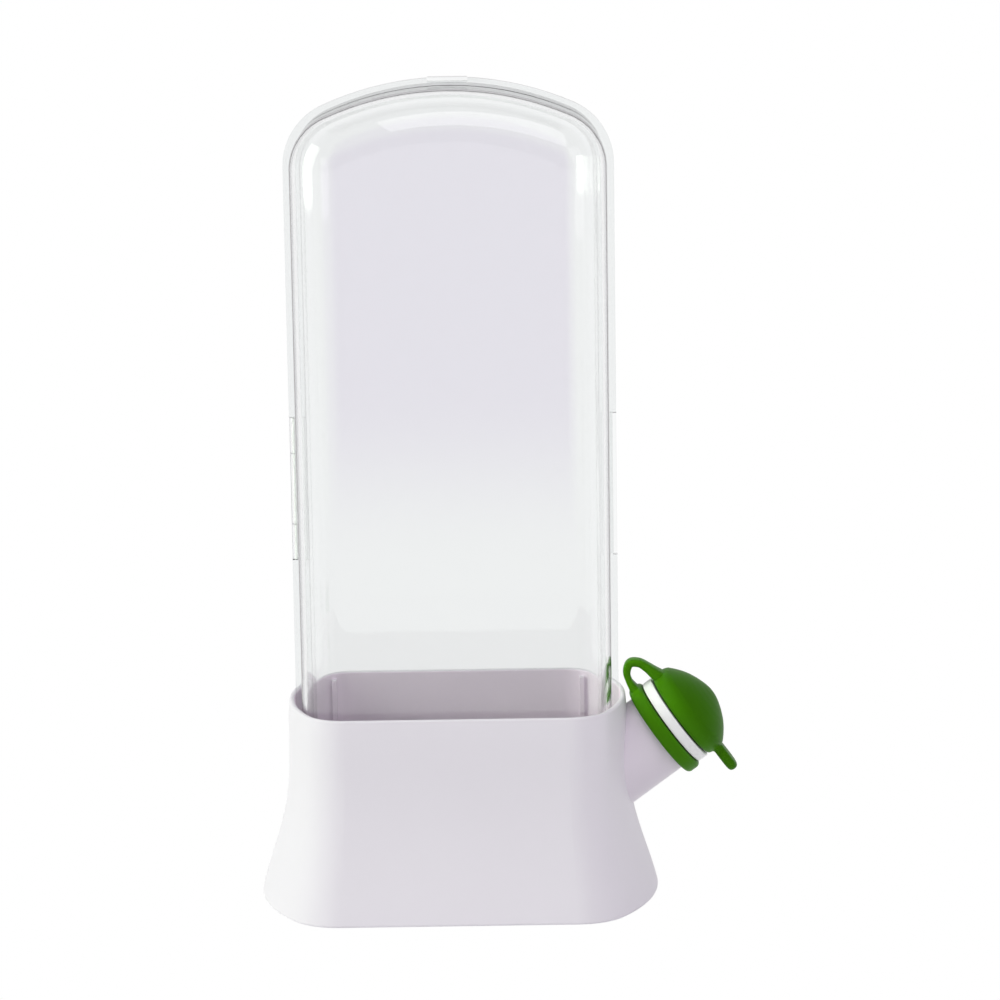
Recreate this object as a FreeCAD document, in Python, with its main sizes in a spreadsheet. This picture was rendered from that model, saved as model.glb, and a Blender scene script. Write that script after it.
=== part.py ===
# Herb keeper: a white water base with a slanted filling spout, a green silicone stopper on its strap,
# and a clear clamshell pod that stands in the base. Millimetres, +Z up, the spout towards +X, the front
# face towards -Y. The origin is the middle of the foot, on the surface that the base stands on.
import FreeCAD, Part
import math
import os
import re
import Sketcher

V = FreeCAD.Vector
doc = FreeCAD.newDocument("herb_keeper")

# Driving dimensions, millimetres and degrees
SIZES = {
    # Base shell: plan outline at the rim, and how it grows towards the foot
    "rim_half_width": 57.5,
    "rim_half_depth": 37.4,
    "rim_side_radius": 66.0,
    "rim_corner_radius": 14.8,
    "base_height": 68.3,
    "base_wall": 1.8,
    "waist_height": 33.0,
    "waist_blend": 6.0,
    "waist_spread": 1.3,
    "foot_spread": 11.0,
    "foot_side_growth": 3.7,
    "foot_corner_growth": 4.1,
    "rim_edge_radius": 0.7,
    "foot_edge_radius": 0.8,
    # Guide ribs inside the front and back walls
    "guide_rib_offset": 44.7,
    "guide_rib_width": 2.0,
    "guide_rib_drop": 2.2,
    "guide_rib_clearance": 0.5,
    # Floor plate
    "floor_thickness": 2.4,
    "weld_gap": 0.15,
    "stand_rib_height": 2.2,
    "stand_rib_width": 3.0,
    "stand_rib_length": 34.0,
    "stand_rib_pitch": 27.0,
    # Spout neck
    "spout_tilt": 36.5,
    "spout_standoff": 11.4,
    "spout_height": 53.7,
    "neck_radius": 14.5,
    "neck_wall": 1.8,
    "neck_root": 32.0,
    "neck_joint_gap": 0.05,
    "lip_radius": 16.3,
    "lip_thickness": 3.65,
    "lip_edge_radius": 0.5,
    # Stopper: collar, strap, cap and pull tab
    "collar_width": 4.9,
    "collar_thickness": 3.0,
    "collar_edge_radius": 1.4,
    "collar_lip_gap": 0.45,
    "strap_offset": 2.8,
    "strap_rise": 2.8,
    "strap_bend_radius": 3.6,
    "strap_thickness": 2.0,
    "strap_width": 6.0,
    "strap_lean": 20.0,
    "strap_end_gap": 0.1,
    "strap_overrun": 2.0,
    "cap_radius": 16.5,
    "cap_draft": 0.3,
    "cap_seat_gap": 0.4,
    "cap_height": 13.9,
    "cap_corner_height": 6.1,
    "cap_crown_radius": 8.0,
    "cap_dome_radius": 42.0,
    "cap_shoulder_radius": 3.6,
    "cap_edge_radius": 0.8,
    "plug_depth": 4.0,
    "plug_gap": 0.3,
    "plug_taper": 0.6,
    "plug_wall": 2.0,
    "plug_dish": 3.4,
    "tab_reach": 26.4,
    "tab_width": 9.6,
    "tab_thickness": 3.4,
    "tab_height": 3.55,
    "tab_edge_radius": 1.4,
    # Pod: outline of the parting flange, and how far the two trays stand out from it
    "pod_half_width": 55.3,
    "pod_height": 274.4,
    "arch_radius": 104.0,
    "shoulder_radius": 22.0,
    "pod_bottom_radius": 20.0,
    "pod_half_depth": 32.0,
    "pod_edge_radius": 16.0,
    "pod_wall": 1.6,
    "flange_width": 2.8,
    "flange_thickness": 1.7,
    "parting_gap": 0.1,
    "drain_slot_length": 12.0,
    "drain_slot_width": 2.5,
    "drain_slot_pitch": 9.0,
    "drain_slot_count": 8,
    # Hinge on the left of the pod
    "hinge_length": 48.6,
    "hinge_height": 136.2,
    "knuckle_length": 12.0,
    "knuckle_radius": 1.8,
    "knuckle_play": 0.25,
    "pin_radius": 0.95,
    "pin_clearance": 0.05,
    # Snap latches on the right side and at the top of the pod
    "latch_length": 48.6,
    "top_latch_length": 13.2,
    "latch_lip": 1.2,
    "latch_play": 0.2,
    "latch_nib": 1.0,
    "latch_hook": 1.1,
}

sheet = doc.addObject("Spreadsheet::Sheet", "sizes")
for row, (alias, value) in enumerate(SIZES.items(), start=1):
    sheet.set(f"A{row}", alias.replace("_", " "))
    sheet.set(f"B{row}", str(value))
    sheet.setAlias(f"B{row}", alias)
doc.recompute()


def cells(text):
    """An expression written in bare names, with each driving dimension pointed at its cell."""
    return re.sub(r"[a-z_]+", lambda word: "sizes." + word[0] if word[0] in SIZES else word[0], text)


def now(text):
    """The number that such an expression has with the present sizes."""
    return float(sheet.evalExpression(cells(text)))


def bind(thing, place, text):
    thing.setExpression(place, cells(text))


def new_body(label):
    body = doc.addObject("PartDesign::Body", label)
    body.Label = label
    return body


def new_sketch(body, plane_role, name, offset="0"):
    """A sketch on one of the body's own origin planes, moved along the plane's normal."""
    plane = next(item for item in body.Origin.OriginFeatures if item.Role == plane_role)
    sketch = body.newObject("Sketcher::SketchObject", name)
    sketch.AttachmentSupport = (plane, [""])
    sketch.MapMode = "FlatFace"
    bind(sketch, "AttachmentOffset.Base.z", offset)
    return sketch


def drive(sketch, name, text, *constraint):
    """A dimensional constraint that is bound to an expression."""
    index = sketch.addConstraint(Sketcher.Constraint(*constraint, now(text)))
    sketch.renameConstraint(index, name)
    bind(sketch, f"Constraints.{name}", text)


def join_tangent(sketch, first, count):
    """Closes a loop of edges, each tangent to the next, that are numbered from first."""
    for step in range(count):
        here = first + step
        following = first + (step + 1) % count
        sketch.addConstraint(Sketcher.Constraint("Tangent", here, 2, following, 1))


def arc(x, y, radius, start, end):
    return Part.ArcOfCircle(Part.Circle(V(x, y, 0), V(0, 0, 1), radius), start, end)


def segment(x0, y0, x1, y1):
    return Part.LineSegment(V(x0, y0, 0), V(x1, y1, 0))


def polygon(sketch, corners):
    """A closed polygon whose corners are pairs of expressions, each bound from the sketch's origin."""
    first = sketch.GeometryCount
    count = len(corners)
    points = [(now(x), now(y)) for x, y in corners]
    for step in range(count):
        sketch.addGeometry(segment(*points[step], *points[(step + 1) % count]), False)
    for step in range(count):
        here = first + step
        following = first + (step + 1) % count
        sketch.addConstraint(Sketcher.Constraint("Coincident", here, 2, following, 1))
    for step, (x, y) in enumerate(corners):
        here = first + step
        pin_point(sketch, f"corner_{here}", here, 1, x, y)


def pin_point(sketch, name, edge, end, x, y):
    """Holds one point of a sketch at a signed distance from the origin on both axes."""
    for axis, kind, text in (("x", "DistanceX", x), ("y", "DistanceY", y)):
        if abs(now(text)) < 1e-9:
            across = -2 if axis == "x" else -1
            sketch.addConstraint(Sketcher.Constraint("PointOnObject", edge, end, across))
        else:
            drive(sketch, f"{name}_{axis}", text, kind, -1, 1, edge, end)


def circle(sketch, name, x, y, radius):
    here = sketch.GeometryCount
    sketch.addGeometry(Part.Circle(V(now(x), now(y), 0), V(0, 0, 1), now(radius)), False)
    pin_point(sketch, name, here, 3, x, y)
    drive(sketch, f"{name}_radius", radius, "Radius", here)


def pad(body, sketch, name, length, backwards=False, middle=False):
    feature = body.newObject("PartDesign::Pad", name)
    feature.Profile = sketch
    bind(feature, "Length", length)
    feature.Reversed = backwards
    feature.Midplane = middle
    body.Tip = feature
    doc.recompute()
    return feature


def pocket(body, sketch, name, length, backwards=False, middle=False):
    before = body.Shape.Volume
    feature = body.newObject("PartDesign::Pocket", name)
    feature.Profile = sketch
    bind(feature, "Length", length)
    feature.Reversed = backwards
    feature.Midplane = middle
    body.Tip = feature
    doc.recompute()
    if body.Shape.Volume >= before:
        raise SystemExit(f"{body.Label}: {name} cuts nothing")
    return feature


def revolve(body, sketch, name):
    feature = body.newObject("PartDesign::Revolution", name)
    feature.Profile = sketch
    feature.ReferenceAxis = (sketch, ["V_Axis"])
    feature.Angle = 360.0
    body.Tip = feature
    doc.recompute()
    return feature


def loft(body, sketches, name):
    feature = body.newObject("PartDesign::AdditiveLoft", name)
    feature.Profile = sketches[0]
    feature.Sections = sketches[1:]
    feature.Ruled = False
    body.Tip = feature
    doc.recompute()
    return feature


def edges_where(shape, test):
    """Names of the edges whose ends and middle all pass a test."""
    names = []
    for number, edge in enumerate(shape.Edges, start=1):
        middle = edge.valueAt((edge.FirstParameter + edge.LastParameter) / 2)
        if all(test(point) for point in [middle] + [vertex.Point for vertex in edge.Vertexes]):
            names.append(f"Edge{number}")
    return names


def round_edges(body, name, radius, test):
    base = body.Tip
    feature = body.newObject("PartDesign::Fillet", name)
    feature.Base = (base, edges_where(base.Shape, test))
    bind(feature, "Radius", radius)
    body.Tip = feature
    doc.recompute()
    return feature


def near(a, b):
    return abs(a - b) < 1e-4


# Plan outline of the base: flat front and back, corners, and bulged ends
def plan_sketch(body, name, level, spread, inset):
    """One section of the base at a height, spread out from the rim's outline and inset by a wall."""
    growth = f"({spread}) / foot_spread"
    half_width = f"rim_half_width + ({spread}) - ({inset})"
    half_depth = f"rim_half_depth + ({spread}) - ({inset})"
    side_radius = f"rim_side_radius + foot_side_growth * {growth} - ({inset})"
    corner_radius = f"rim_corner_radius + foot_corner_growth * {growth} - ({inset})"
    a, b, side, corner = (now(text) for text in (half_width, half_depth, side_radius, corner_radius))
    rise = b - corner
    corner_x = a - side + math.sqrt((side - corner) ** 2 - rise**2)
    turn = math.atan2(rise, corner_x - (a - side))
    sketch = new_sketch(body, "XY_Plane", name, level)
    outline = [
        arc(a - side, 0, side, -turn, turn),
        arc(corner_x, rise, corner, turn, math.pi / 2),
        segment(corner_x, b, -corner_x, b),
        arc(-corner_x, rise, corner, math.pi / 2, math.pi - turn),
        arc(side - a, 0, side, math.pi - turn, math.pi + turn),
        arc(-corner_x, -rise, corner, math.pi + turn, 3 * math.pi / 2),
        segment(-corner_x, -b, corner_x, -b),
        arc(corner_x, -rise, corner, 3 * math.pi / 2, 2 * math.pi - turn),
    ]
    sketch.addGeometry(outline, False)
    join_tangent(sketch, 0, len(outline))
    for end_arc in (0, 4):
        sketch.addConstraint(Sketcher.Constraint("PointOnObject", end_arc, 3, -1))
    for flat in (2, 6):
        sketch.addConstraint(Sketcher.Constraint("Horizontal", flat))
    for other in (3, 5, 7):
        sketch.addConstraint(Sketcher.Constraint("Equal", 1, other))
    sketch.addConstraint(Sketcher.Constraint("Equal", 0, 4))
    drive(sketch, "side_radius", side_radius, "Radius", 0)
    drive(sketch, "corner_radius", corner_radius, "Radius", 1)
    drive(sketch, "back", half_depth, "DistanceY", -1, 1, 2, 1)
    drive(sketch, "front", half_depth, "DistanceY", 6, 1, -1, 1)
    sketch.addGeometry([Part.Point(V(a, 0, 0)), Part.Point(V(-a, 0, 0))], True)
    for point, end_arc in ((8, 0), (9, 4)):
        sketch.addConstraint(Sketcher.Constraint("PointOnObject", point, 1, -1))
        sketch.addConstraint(Sketcher.Constraint("PointOnObject", point, 1, end_arc))
    drive(sketch, "right", half_width, "DistanceX", -1, 1, 8, 1)
    drive(sketch, "left", half_width, "DistanceX", 9, 1, -1, 1)
    return sketch


def flare(level):
    """How far the wall stands out from the rim at a height below the waist."""
    return f"waist_spread + (foot_spread - waist_spread) * (1 - ({level}) / waist_height)"


def flank(level):
    """The same above the waist, where the wall is nearly upright."""
    return f"waist_spread * (base_height - ({level})) / (base_height - waist_height)"


BASE_LEVELS = [
    ("0", flare),
    ("(waist_height - waist_blend) / 2", flare),
    ("waist_height - waist_blend", flare),
    ("waist_height + waist_blend", flank),
    ("(waist_height + waist_blend + base_height) / 2", flank),
    ("base_height", flank),
]


def base_loft(body, inset):
    sections = []
    for number, (level, spread) in enumerate(BASE_LEVELS, start=1):
        sections.append(plan_sketch(body, f"section_{number}_of_{body.Label}", level, spread(level), inset))
    return loft(body, sections, f"loft_of_{body.Label}")


# The spout's own frame: its origin is in the middle of the collar's back face, +Z runs out of the mouth
# and +X points down and away from the rim
SPOUT_X = "rim_half_width + spout_standoff"
SPOUT_Z = "spout_height"


def place_on_spout(thing, along="0"):
    thing.Placement = FreeCAD.Placement(V(), FreeCAD.Rotation(V(0, 1, 0), 90 - now("spout_tilt")))
    bind(thing, "Placement.Rotation.Angle", "90 - spout_tilt")
    bind(thing, "Placement.Base.x", f"{SPOUT_X} + ({along}) * cos(spout_tilt * 1deg)")
    bind(thing, "Placement.Base.z", f"{SPOUT_Z} + ({along}) * sin(spout_tilt * 1deg)")


def spout_cylinder(name, radius, start, length):
    """A plain cylinder on the spout's axis, used as a cutting tool."""
    tool = doc.addObject("Part::Cylinder", name)
    bind(tool, "Radius", radius)
    bind(tool, "Height", length)
    place_on_spout(tool, start)
    return tool


def cut(label, base, tool):
    feature = doc.addObject("Part::Cut", label)
    feature.Label = label
    feature.Base = base
    feature.Tool = tool
    doc.recompute()
    return feature


# Surface of the pod's tray where the guide ribs come near it
TRAY_HALF_WIDTH = "(pod_half_width - flange_width)"
RIB_INNER_X = "(guide_rib_offset - guide_rib_width / 2)"
TRAY_Y_AT_RIB = (
    "(pod_half_depth - pod_edge_radius + sqrt(pod_edge_radius ^ 2 - "
    f"({RIB_INNER_X} - {TRAY_HALF_WIDTH} + pod_edge_radius) ^ 2))"
)


# Base shell: one upright moulding, open below until its floor is welded in
def make_well_core():
    """The hollow of the base as a solid, with grooves where the guide ribs stand."""
    body = new_body("well_core")
    base_loft(body, "base_wall")
    for number, (side_x, side_y) in enumerate(((1, 1), (-1, 1), (1, -1), (-1, -1)), start=1):
        sketch = new_sketch(body, "XY_Plane", f"rib_groove_{number}", "base_height - guide_rib_drop")
        inner = f"{side_x} * {RIB_INNER_X}"
        outer = f"{side_x} * (guide_rib_offset + guide_rib_width / 2)"
        near_y = f"{side_y} * ({TRAY_Y_AT_RIB} + guide_rib_clearance)"
        far_y = f"{side_y} * (rim_half_depth + foot_spread)"
        polygon(sketch, [(inner, near_y), (outer, near_y), (outer, far_y), (inner, far_y)])
        pocket(body, sketch, f"rib_{number}", "base_height - guide_rib_drop - waist_height")
    return body


def make_base_shell(core):
    blank = new_body("shell_blank")
    base_loft(blank, "0")
    hollow = cut("shell_hollow", blank, core)
    bore = spout_cylinder("neck_hole", "neck_radius + neck_joint_gap", "-neck_root", "neck_root")
    bored = cut("shell_bored", hollow, bore)
    shell = doc.addObject("Part::Fillet", "base_shell")
    shell.Base = bored
    rounds = []
    for level, radius in ((now("base_height"), now("rim_edge_radius")), (0.0, now("foot_edge_radius"))):
        for name in edges_where(bored.Shape, lambda p: near(p.z, level)):
            rounds.append((int(name[4:]), radius, radius))
    shell.Edges = rounds
    shell.Label = "base_shell"
    doc.recompute()
    return shell


# Floor plate: follows the inside of the foot, with ribs that hold the pod off it
def make_base_floor():
    body = new_body("base_floor")
    gap = "base_wall + weld_gap"
    bottom = plan_sketch(body, "floor_outline", "0", flare("0"), gap)
    top = plan_sketch(body, "floor_top_outline", "floor_thickness", flare("floor_thickness"), gap)
    loft(body, [bottom, top], "plate")
    for number, step in enumerate((-1, 0, 1), start=1):
        sketch = new_sketch(body, "XY_Plane", f"stand_rib_outline_{number}", "floor_thickness")
        left = f"{step} * stand_rib_pitch - stand_rib_width / 2"
        right = f"{step} * stand_rib_pitch + stand_rib_width / 2"
        front = "-stand_rib_length / 2"
        back = "stand_rib_length / 2"
        polygon(sketch, [(left, front), (right, front), (right, back), (left, back)])
        pad(body, sketch, f"stand_rib_{number}", "stand_rib_height")
    return body


# Spout neck: a plain tube with a lip, welded into the hole in the right end of the shell
BORE_RADIUS = "(neck_radius - neck_wall)"
LIP_BACK = "(collar_width + collar_lip_gap)"
LIP_FRONT = "(collar_width + collar_lip_gap + lip_thickness)"


def make_spout_neck(core):
    body = new_body("neck_blank")
    sketch = new_sketch(body, "XZ_Plane", "neck_profile")
    profile = [
        (BORE_RADIUS, "-neck_root"),
        ("neck_radius", "-neck_root"),
        ("neck_radius", LIP_BACK),
        ("lip_radius", LIP_BACK),
        ("lip_radius", LIP_FRONT),
        (BORE_RADIUS, LIP_FRONT),
    ]
    polygon(sketch, profile)
    revolve(body, sketch, "neck_turn")
    front = now(LIP_FRONT)
    back = now(LIP_BACK)
    lip = now("lip_radius")

    def on_lip_edge(point):
        return near(math.hypot(point.x, point.y), lip) and (near(point.z, front) or near(point.z, back))

    round_edges(body, "lip_round", "lip_edge_radius", on_lip_edge)
    place_on_spout(body)
    return cut("spout_neck", body, core)


# Stopper collar: the ring of the silicone moulding that is stretched over the lip
COLLAR_RADIUS = "(neck_radius + neck_joint_gap + collar_thickness)"


def make_stopper_collar():
    body = new_body("stopper_collar")
    sketch = new_sketch(body, "XZ_Plane", "collar_profile")
    inner = "neck_radius + neck_joint_gap"
    profile = [(inner, "0"), (COLLAR_RADIUS, "0"), (COLLAR_RADIUS, "collar_width"), (inner, "collar_width")]
    polygon(sketch, profile)
    revolve(body, sketch, "collar_turn")
    radius = now(COLLAR_RADIUS)
    round_edges(body, "collar_round", "collar_edge_radius", lambda p: near(math.hypot(p.x, p.y), radius))
    place_on_spout(body)
    return body


# Stopper cap: a domed cap with a pull tab and a tapered plug
CAP_BASE = f"({LIP_FRONT} + cap_seat_gap)"


def make_cap_dome():
    body = new_body("cap_dome")
    sketch = new_sketch(body, "XZ_Plane", "cap_profile")
    base = now(CAP_BASE)
    radius = now("cap_radius")
    top = base + now("cap_height")
    corner = base + now("cap_corner_height")
    crown = now("cap_crown_radius")
    dome = now("cap_dome_radius")
    crown_z = top - crown
    dome_x, dome_z = dome_centre((0, crown_z), crown, (radius, corner), dome)
    touch = math.atan2(crown_z - dome_z, 0 - dome_x)
    outer = math.atan2(corner - dome_z, radius - dome_x)
    plug_top = f"({BORE_RADIUS} - plug_gap)"
    plug_tip = f"({BORE_RADIUS} - plug_gap - plug_taper)"
    dish = f"({plug_tip} - plug_wall)"
    dish_top = f"({CAP_BASE} - plug_depth + plug_dish)"
    dish_tip = f"({CAP_BASE} - plug_depth)"
    corners = [
        ("0", dish_top),
        (dish, dish_top),
        (dish, dish_tip),
        (plug_tip, dish_tip),
        (plug_top, CAP_BASE),
        ("cap_radius - cap_draft", CAP_BASE),
        ("cap_radius", f"{CAP_BASE} + cap_corner_height"),
    ]
    points = [(now(x), now(z)) for x, z in corners]
    for start, end in zip(points, points[1:]):
        sketch.addGeometry(segment(*start, *end), False)
    last = len(points) - 1
    sketch.addGeometry(arc(dome_x, dome_z, dome, outer, touch), False)
    sketch.addGeometry(arc(0, crown_z, crown, touch, math.pi / 2), False)
    sketch.addGeometry(segment(0, top, 0, points[0][1]), False)
    dome_arc, crown_arc, axis_line = last, last + 1, last + 2
    for step in range(last):
        sketch.addConstraint(Sketcher.Constraint("Coincident", step, 2, step + 1, 1))
    sketch.addConstraint(Sketcher.Constraint("Tangent", dome_arc, 2, crown_arc, 1))
    sketch.addConstraint(Sketcher.Constraint("Coincident", crown_arc, 2, axis_line, 1))
    sketch.addConstraint(Sketcher.Constraint("Coincident", axis_line, 2, 0, 1))
    sketch.addConstraint(Sketcher.Constraint("PointOnObject", crown_arc, 3, -2))
    sketch.addConstraint(Sketcher.Constraint("PointOnObject", crown_arc, 2, -2))
    for step, (x, z) in enumerate(corners):
        pin_point(sketch, f"corner_{step}", step, 1, x, z)
    drive(sketch, "dome_radius", "cap_dome_radius", "Radius", dome_arc)
    drive(sketch, "crown_radius", "cap_crown_radius", "Radius", crown_arc)
    drive(sketch, "top", f"{CAP_BASE} + cap_height", "DistanceY", -1, 1, crown_arc, 2)
    revolve(body, sketch, "cap_turn")
    round_edges(
        body,
        "shoulder_round",
        "cap_shoulder_radius",
        lambda p: near(math.hypot(p.x, p.y), radius) and near(p.z, corner),
    )
    rim = now("cap_radius - cap_draft")
    round_edges(
        body,
        "cap_rim_round",
        "cap_edge_radius",
        lambda p: near(math.hypot(p.x, p.y), rim) and near(p.z, base),
    )
    place_on_spout(body)
    return body


def dome_centre(crown_centre, crown, shoulder, dome):
    """Centre of an arc that holds the smaller crown arc inside it and ends at the shoulder."""
    dx = shoulder[0] - crown_centre[0]
    dz = shoulder[1] - crown_centre[1]
    apart = math.hypot(dx, dz)
    reach = dome - crown
    along = (apart**2 + reach**2 - dome**2) / (2 * apart)
    aside = math.sqrt(reach**2 - along**2)
    x = crown_centre[0] + (along * dx + aside * dz) / apart
    z = crown_centre[1] + (along * dz - aside * dx) / apart
    return x, z


def make_pull_tab():
    body = new_body("pull_tab")
    sketch = new_sketch(body, "XY_Plane", "tab_outline", f"{CAP_BASE} + tab_height")
    root = now("cap_radius / 2")
    tip = now("tab_reach - tab_width / 2")
    half = now("tab_width / 2")
    sketch.addGeometry(
        [
            segment(root, -half, tip, -half),
            arc(tip, 0, half, -math.pi / 2, math.pi / 2),
            segment(tip, half, root, half),
            segment(root, half, root, -half),
        ],
        False,
    )
    sketch.addConstraint(Sketcher.Constraint("Tangent", 0, 2, 1, 1))
    sketch.addConstraint(Sketcher.Constraint("Tangent", 1, 2, 2, 1))
    sketch.addConstraint(Sketcher.Constraint("Coincident", 2, 2, 3, 1))
    sketch.addConstraint(Sketcher.Constraint("Coincident", 3, 2, 0, 1))
    sketch.addConstraint(Sketcher.Constraint("Horizontal", 0))
    sketch.addConstraint(Sketcher.Constraint("Vertical", 3))
    sketch.addConstraint(Sketcher.Constraint("PointOnObject", 1, 3, -1))
    drive(sketch, "tab_end_radius", "tab_width / 2", "Radius", 1)
    drive(sketch, "tab_end", "tab_reach - tab_width / 2", "DistanceX", -1, 1, 1, 3)
    drive(sketch, "tab_root", "cap_radius / 2", "DistanceX", -1, 1, 3, 1)
    pad(body, sketch, "tab_plate", "tab_thickness", middle=True)
    level = now(f"{CAP_BASE} + tab_height")
    half_thick = now("tab_thickness / 2")

    def on_tab_edge(point):
        on_side = near(abs(point.y), half) or near(math.hypot(point.x - tip, point.y), half)
        return on_side and near(abs(point.z - level), half_thick)

    round_edges(body, "tab_round", "tab_edge_radius", on_tab_edge)
    place_on_spout(body)
    return body


def make_stopper_cap():
    cap = doc.addObject("Part::Fuse", "stopper_cap")
    cap.Label = "stopper_cap"
    cap.Base = make_cap_dome()
    cap.Tool = make_pull_tab()
    doc.recompute()
    return cap


# Stopper strap: a flat loop that leaves the collar, turns over and comes down on the cap
STRAP_FOOT = f"({COLLAR_RADIUS} - strap_overrun)"
STRAP_TIP = "(cap_radius - strap_overrun)"
BEND_X = f"({COLLAR_RADIUS} + strap_rise)"
BEND_Z = "(strap_offset + strap_bend_radius)"


def make_stopper_strap():
    body = new_body("strap_sweep")
    path = new_sketch(body, "XZ_Plane", "strap_path")
    foot = now(STRAP_FOOT)
    bend_x = now(BEND_X)
    bend_z = now(BEND_Z)
    bend = now("strap_bend_radius")
    start_z = now("strap_offset")
    lean = math.radians(now("strap_lean"))
    # The bend starts level with the collar's side and ends where it points down at the cap
    end_x = -bend_x - bend * math.sin(lean)
    end_z = bend_z + bend * math.cos(lean)
    inside = now(STRAP_TIP)
    fall = -inside - end_x
    path.addGeometry(
        [
            segment(-foot, start_z, -bend_x, start_z),
            arc(-bend_x, bend_z, bend, math.pi / 2 - lean, 3 * math.pi / 2),
            segment(end_x, end_z, -inside, end_z + fall * math.tan(lean)),
        ],
        False,
    )
    path.addConstraint(Sketcher.Constraint("Tangent", 0, 2, 1, 2))
    path.addConstraint(Sketcher.Constraint("Tangent", 1, 1, 2, 1))
    path.addConstraint(Sketcher.Constraint("Horizontal", 0))
    pin_point(path, "foot", 0, 1, f"-{STRAP_FOOT}", "strap_offset")
    drive(path, "bend_radius", "strap_bend_radius", "Radius", 1)
    drive(path, "bend_place", BEND_X, "DistanceX", 1, 3, -1, 1)
    drive(path, "strap_end", STRAP_TIP, "DistanceX", 2, 2, -1, 1)
    slope = path.addConstraint(Sketcher.Constraint("Angle", 2, math.radians(now("strap_lean"))))
    path.renameConstraint(slope, "strap_slope")
    path.setExpression("Constraints.strap_slope", "sizes.strap_lean * 1deg")
    section = new_sketch(body, "YZ_Plane", "strap_section", f"-{STRAP_FOOT}")
    left, right = "-strap_width / 2", "strap_width / 2"
    low = "strap_offset - strap_thickness / 2"
    high = "strap_offset + strap_thickness / 2"
    polygon(section, [(left, low), (right, low), (right, high), (left, high)])
    sweep = body.newObject("PartDesign::AdditivePipe", "strap_loop")
    sweep.Profile = section
    sweep.Spine = (path, ["Edge1", "Edge2", "Edge3"])
    body.Tip = sweep
    doc.recompute()
    place_on_spout(body)
    collar_tool = spout_cylinder(
        "strap_trim_at_collar", f"{COLLAR_RADIUS} + strap_end_gap", "-collar_width", "2 * collar_width"
    )
    trimmed = cut("strap_trimmed", body, collar_tool)
    cap_tool = spout_cylinder("strap_trim_at_cap", "cap_radius + strap_end_gap", LIP_FRONT, "cap_height")
    return cut("stopper_strap", trimmed, cap_tool)


# Pod outline: straight sides, shoulders and a low arch, with the pod's own bottom at height 0
def pod_outline(sketch, prefix, inset, bottom):
    half_width = f"pod_half_width - ({inset})"
    top_height = f"pod_height - ({inset})"
    arch = f"arch_radius - ({inset})"
    shoulder = f"shoulder_radius - ({inset})"
    bottom_radius = f"pod_bottom_radius - ({inset})"
    w, h, ra, rs = (now(text) for text in (half_width, top_height, arch, shoulder))
    low = now(bottom)
    rb = now(bottom_radius)
    centre = h - ra
    shoulder_z = centre + math.sqrt((ra - rs) ** 2 - (w - rs) ** 2)
    turn = math.atan2(shoulder_z - centre, w - rs)
    first = sketch.GeometryCount
    outline = [
        segment(w, low + rb, w, shoulder_z),
        arc(w - rs, shoulder_z, rs, 0, turn),
        arc(0, centre, ra, turn, math.pi - turn),
        arc(rs - w, shoulder_z, rs, math.pi - turn, math.pi),
        segment(-w, shoulder_z, -w, low + rb),
        arc(rb - w, low + rb, rb, math.pi, 3 * math.pi / 2),
        segment(rb - w, low, w - rb, low),
        arc(w - rb, low + rb, rb, 3 * math.pi / 2, 2 * math.pi),
    ]
    sketch.addGeometry(outline, False)
    join_tangent(sketch, first, len(outline))
    right, right_shoulder, crown, left_shoulder = range(first, first + 4)
    left, left_corner, base, right_corner = range(first + 4, first + 8)
    for upright in (right, left):
        sketch.addConstraint(Sketcher.Constraint("Vertical", upright))
    sketch.addConstraint(Sketcher.Constraint("Horizontal", base))
    sketch.addConstraint(Sketcher.Constraint("PointOnObject", crown, 3, -2))
    sketch.addConstraint(Sketcher.Constraint("Equal", right_shoulder, left_shoulder))
    sketch.addConstraint(Sketcher.Constraint("Equal", right_corner, left_corner))
    drive(sketch, f"{prefix}_arch", arch, "Radius", crown)
    drive(sketch, f"{prefix}_shoulder", shoulder, "Radius", right_shoulder)
    drive(sketch, f"{prefix}_corner", bottom_radius, "Radius", right_corner)
    drive(sketch, f"{prefix}_right", half_width, "DistanceX", -1, 1, right, 1)
    drive(sketch, f"{prefix}_left", half_width, "DistanceX", left, 1, -1, 1)
    if abs(low) < 1e-9:
        sketch.addConstraint(Sketcher.Constraint("PointOnObject", base, 1, -1))
    else:
        drive(sketch, f"{prefix}_bottom", bottom, "DistanceY", -1, 1, base, 1)
    sketch.addGeometry(Part.Point(V(0, h, 0)), True)
    point = first + 8
    sketch.addConstraint(Sketcher.Constraint("PointOnObject", point, 1, -2))
    sketch.addConstraint(Sketcher.Constraint("PointOnObject", point, 1, crown))
    drive(sketch, f"{prefix}_top", top_height, "DistanceY", -1, 1, point, 1)


HINGE_X = "(pod_half_width - knuckle_radius)"
HINGE_LOW = "(hinge_height - hinge_length / 2)"
POD_BOTTOM = "floor_thickness + stand_rib_height"


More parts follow.
